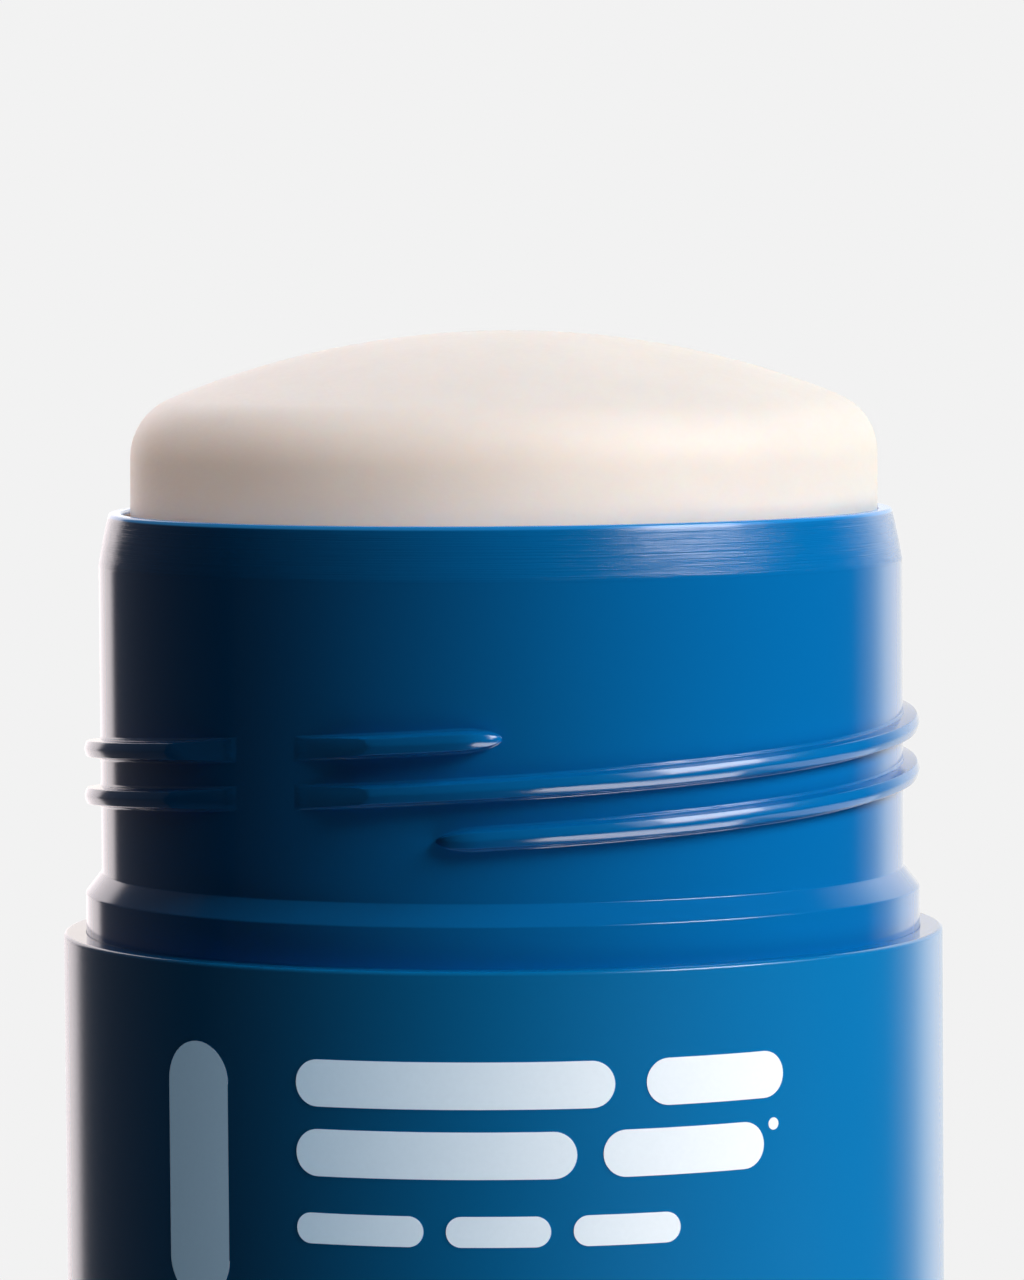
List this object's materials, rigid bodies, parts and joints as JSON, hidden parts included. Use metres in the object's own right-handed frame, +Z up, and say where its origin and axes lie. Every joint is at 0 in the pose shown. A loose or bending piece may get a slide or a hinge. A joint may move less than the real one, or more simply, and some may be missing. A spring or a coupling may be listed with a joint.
{
  "type": "deodorant stick",
  "caption": "Round twist-up deodorant stick without its cap: a domed bar in a threaded neck, a sleeved body and a fluted dial that raises the bar.",
  "frame": {"origin": "centre of the resting face under the dial", "axes": "+Z up along the pack's axis, -Y towards the printed front"},
  "size_m": [0.045, 0.045, 0.0715],
  "materials": {
    "neck_plastic": "glossy moulded, fine scuffs around the neck",
    "sleeve_plastic": "satin with a fine grain",
    "dial_plastic": "satin moulded",
    "inner_plastic": "natural moulded",
    "bar_solid": "smooth, waxy and slightly translucent"
  },
  "bodies": {
    "barrel": {"inner_barrel": "neck_plastic", "outer_sleeve": "sleeve_plastic", "base_plate": "inner_plastic"},
    "dial": {"dial": "dial_plastic", "lift_screw": "inner_plastic"},
    "carrier": {"carrier": "inner_plastic", "deodorant_bar": "bar_solid"}
  },
  "joints": [
    {"name": "dial_turn", "type": "hinge", "parent": "barrel", "child": "dial", "pos_m": [0, 0, 0], "axis": [0, 0, 1], "range_deg": [-180, 2160]},
    {"name": "carrier_lift", "type": "slide", "parent": "barrel", "child": "carrier", "axis": [0, 0, 1], "range_m": [-0.003, 0.036]}
  ],
  "couplings": [
    {"joint": "dial_turn", "follows": "carrier_lift", "rad_per_m": 1047.2}
  ]
}
